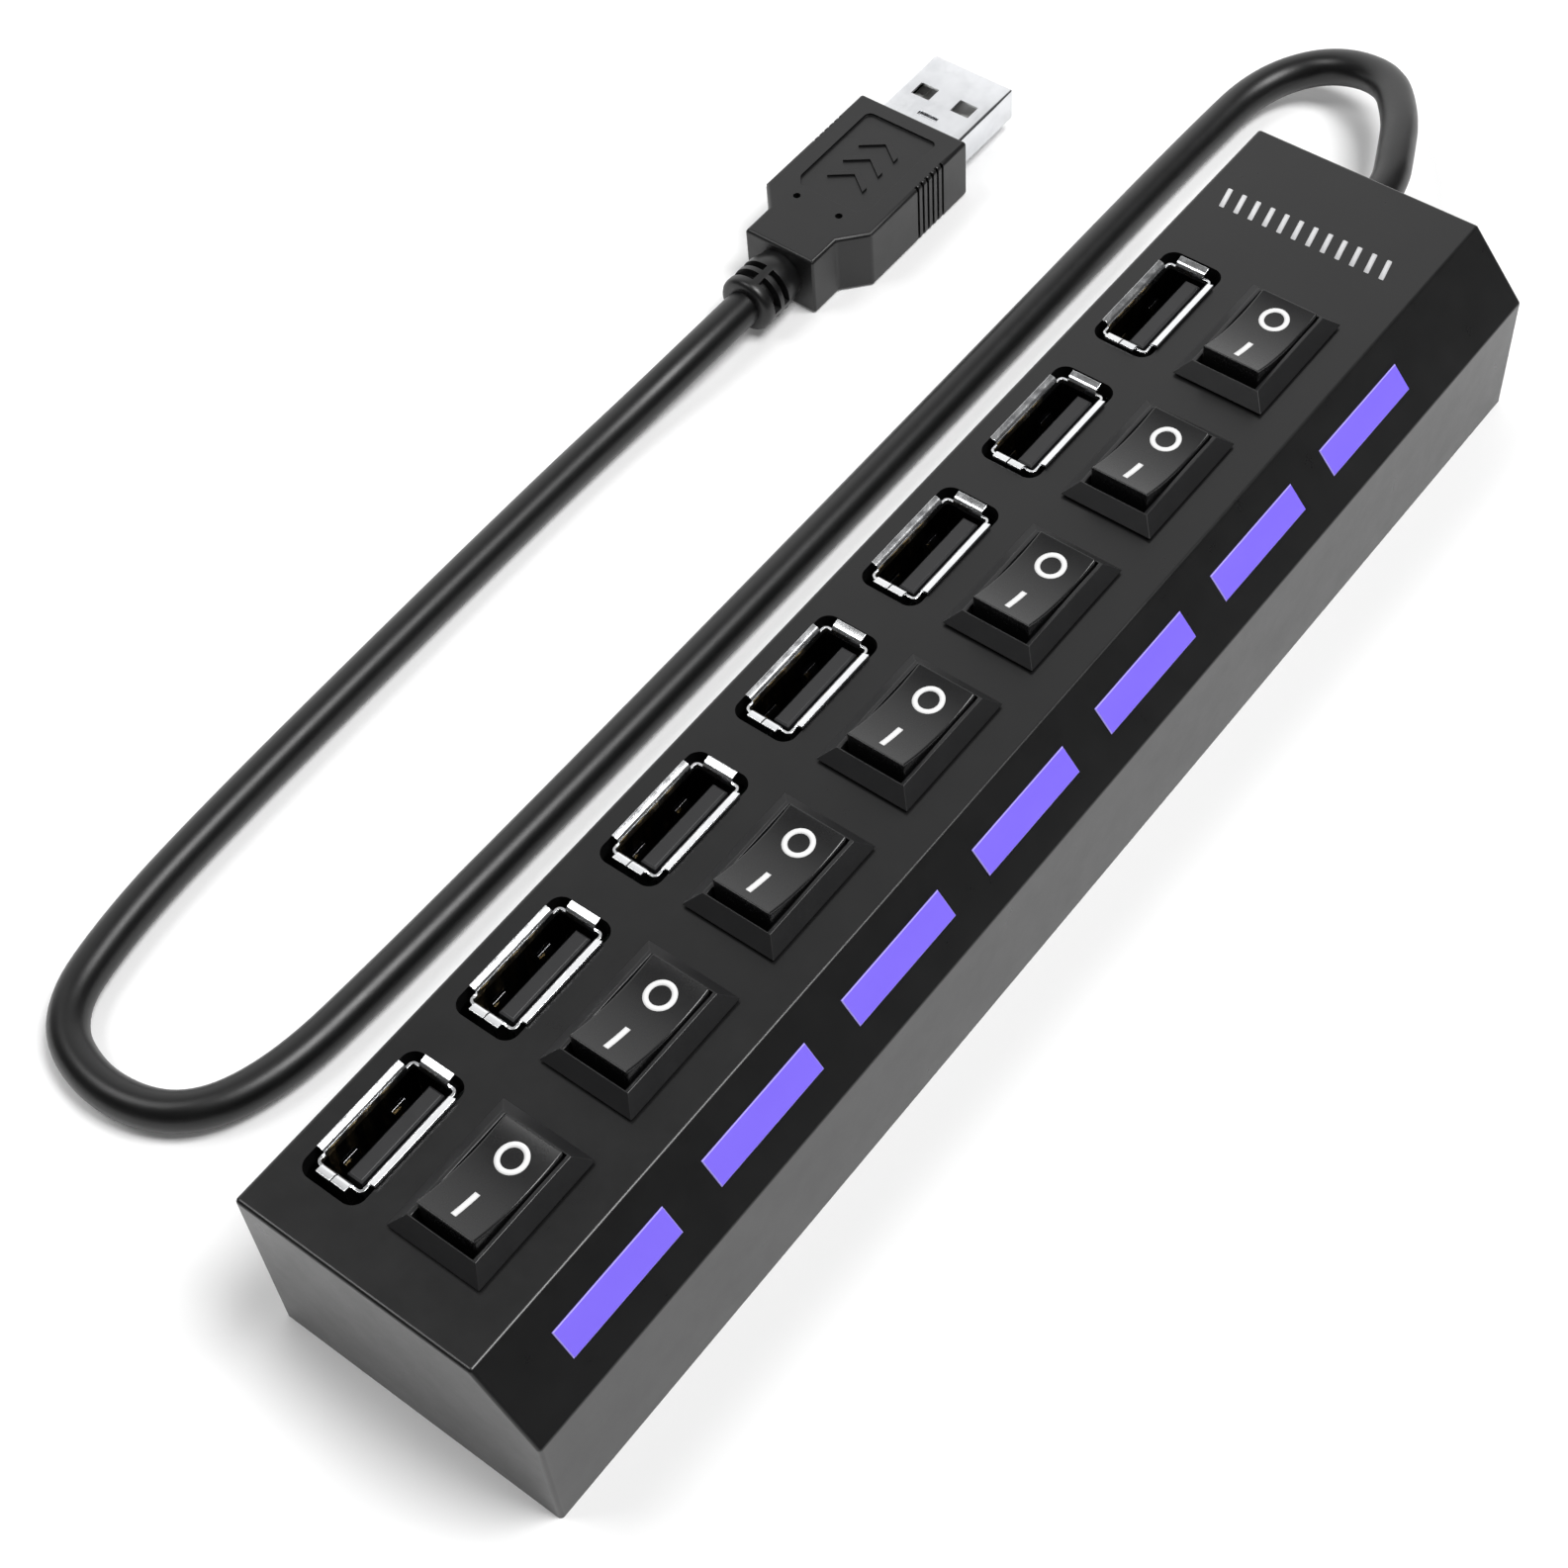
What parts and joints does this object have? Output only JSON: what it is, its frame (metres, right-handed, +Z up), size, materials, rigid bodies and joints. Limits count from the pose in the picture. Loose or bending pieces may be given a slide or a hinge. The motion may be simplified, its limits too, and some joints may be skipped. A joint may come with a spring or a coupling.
{
  "type": "usb hub",
  "caption": "Bar-shaped USB hub with a row of upright USB-A ports, a rocker switch and light window for each, and a short captive cord with USB-A plug.",
  "frame": {"origin": "middle of the housing's underside, on the surface it stands on", "axes": "+Z up, +X along the housing towards the cord, -Y the side with the sloped edge and the light windows"},
  "size_m": [0.2061, 0.0877, 0.0271],
  "materials": {
    "housing": "fine satin moulded black",
    "base": "moulded black",
    "switch": "satin black",
    "rocker": "semi-gloss black",
    "steel": "bright nickel-plated sheet",
    "insulator": "dark grey insulator",
    "gold": "gold-plated",
    "window": "violet diffusing plastic",
    "board": "green solder mask",
    "chip": "black epoxy",
    "can": "metal can",
    "led": "white LED package",
    "screw": "zinc-plated",
    "grommet": "soft black",
    "cord": "glossy black jacket",
    "wire": "insulated wire",
    "plug": "semi-gloss black overmould",
    "plug_insert": "white insulator",
    "terminal": "tinned brass"
  },
  "bodies": {
    "hub": {"top_cover": "housing", "bottom_cover": "base", "case_screws": "screw", "main_board": "board", "usb_contacts": "gold", "switch_terminals": "terminal", "indicator_leds": "led", "hub_controllers": "chip", "crystal": "can", "capacitors": "can", "led_resistors": "chip", "cord_grommet": "grommet", "cord": "cord", "cord_wires": "wire", "plug_grip": "plug", "plug_relief": "plug", "plug_shell": "steel", "plug_tongue": "plug_insert", "plug_contacts": "gold", "usb_shell_1": "steel", "usb_tongue_1": "insulator", "switch_body_1": "switch", "light_window_1": "window", "usb_shell_2": "steel", "usb_tongue_2": "insulator", "switch_body_2": "switch", "light_window_2": "window", "usb_shell_3": "steel", "usb_tongue_3": "insulator", "switch_body_3": "switch", "light_window_3": "window", "usb_shell_4": "steel", "usb_tongue_4": "insulator", "switch_body_4": "switch", "light_window_4": "window", "usb_shell_5": "steel", "usb_tongue_5": "insulator", "switch_body_5": "switch", "light_window_5": "window", "usb_shell_6": "steel", "usb_tongue_6": "insulator", "switch_body_6": "switch", "light_window_6": "window", "usb_shell_7": "steel", "usb_tongue_7": "insulator", "switch_body_7": "switch", "light_window_7": "window"},
    "rocker_1": {"rocker_1": "rocker"},
    "rocker_2": {"rocker_2": "rocker"},
    "rocker_3": {"rocker_3": "rocker"},
    "rocker_4": {"rocker_4": "rocker"},
    "rocker_5": {"rocker_5": "rocker"},
    "rocker_6": {"rocker_6": "rocker"},
    "rocker_7": {"rocker_7": "rocker"}
  },
  "joints": [
    {"name": "switch_1_rock", "type": "hinge", "parent": "hub", "child": "rocker_1", "pos_m": [-0.07082, -0.0011, 0.0236], "axis": [0, -1, 0], "range_deg": [0, 12.8]},
    {"name": "switch_2_rock", "type": "hinge", "parent": "hub", "child": "rocker_2", "pos_m": [-0.04984, -0.0011, 0.0236], "axis": [0, -1, 0], "range_deg": [0, 12.8]},
    {"name": "switch_3_rock", "type": "hinge", "parent": "hub", "child": "rocker_3", "pos_m": [-0.02886, -0.0011, 0.0236], "axis": [0, -1, 0], "range_deg": [0, 12.8]},
    {"name": "switch_4_rock", "type": "hinge", "parent": "hub", "child": "rocker_4", "pos_m": [-0.00788, -0.0011, 0.0236], "axis": [0, -1, 0], "range_deg": [0, 12.8]},
    {"name": "switch_5_rock", "type": "hinge", "parent": "hub", "child": "rocker_5", "pos_m": [0.0131, -0.0011, 0.0236], "axis": [0, -1, 0], "range_deg": [0, 12.8]},
    {"name": "switch_6_rock", "type": "hinge", "parent": "hub", "child": "rocker_6", "pos_m": [0.03408, -0.0011, 0.0236], "axis": [0, -1, 0], "range_deg": [0, 12.8]},
    {"name": "switch_7_rock", "type": "hinge", "parent": "hub", "child": "rocker_7", "pos_m": [0.05506, -0.0011, 0.0236], "axis": [0, -1, 0], "range_deg": [0, 12.8]}
  ]
}
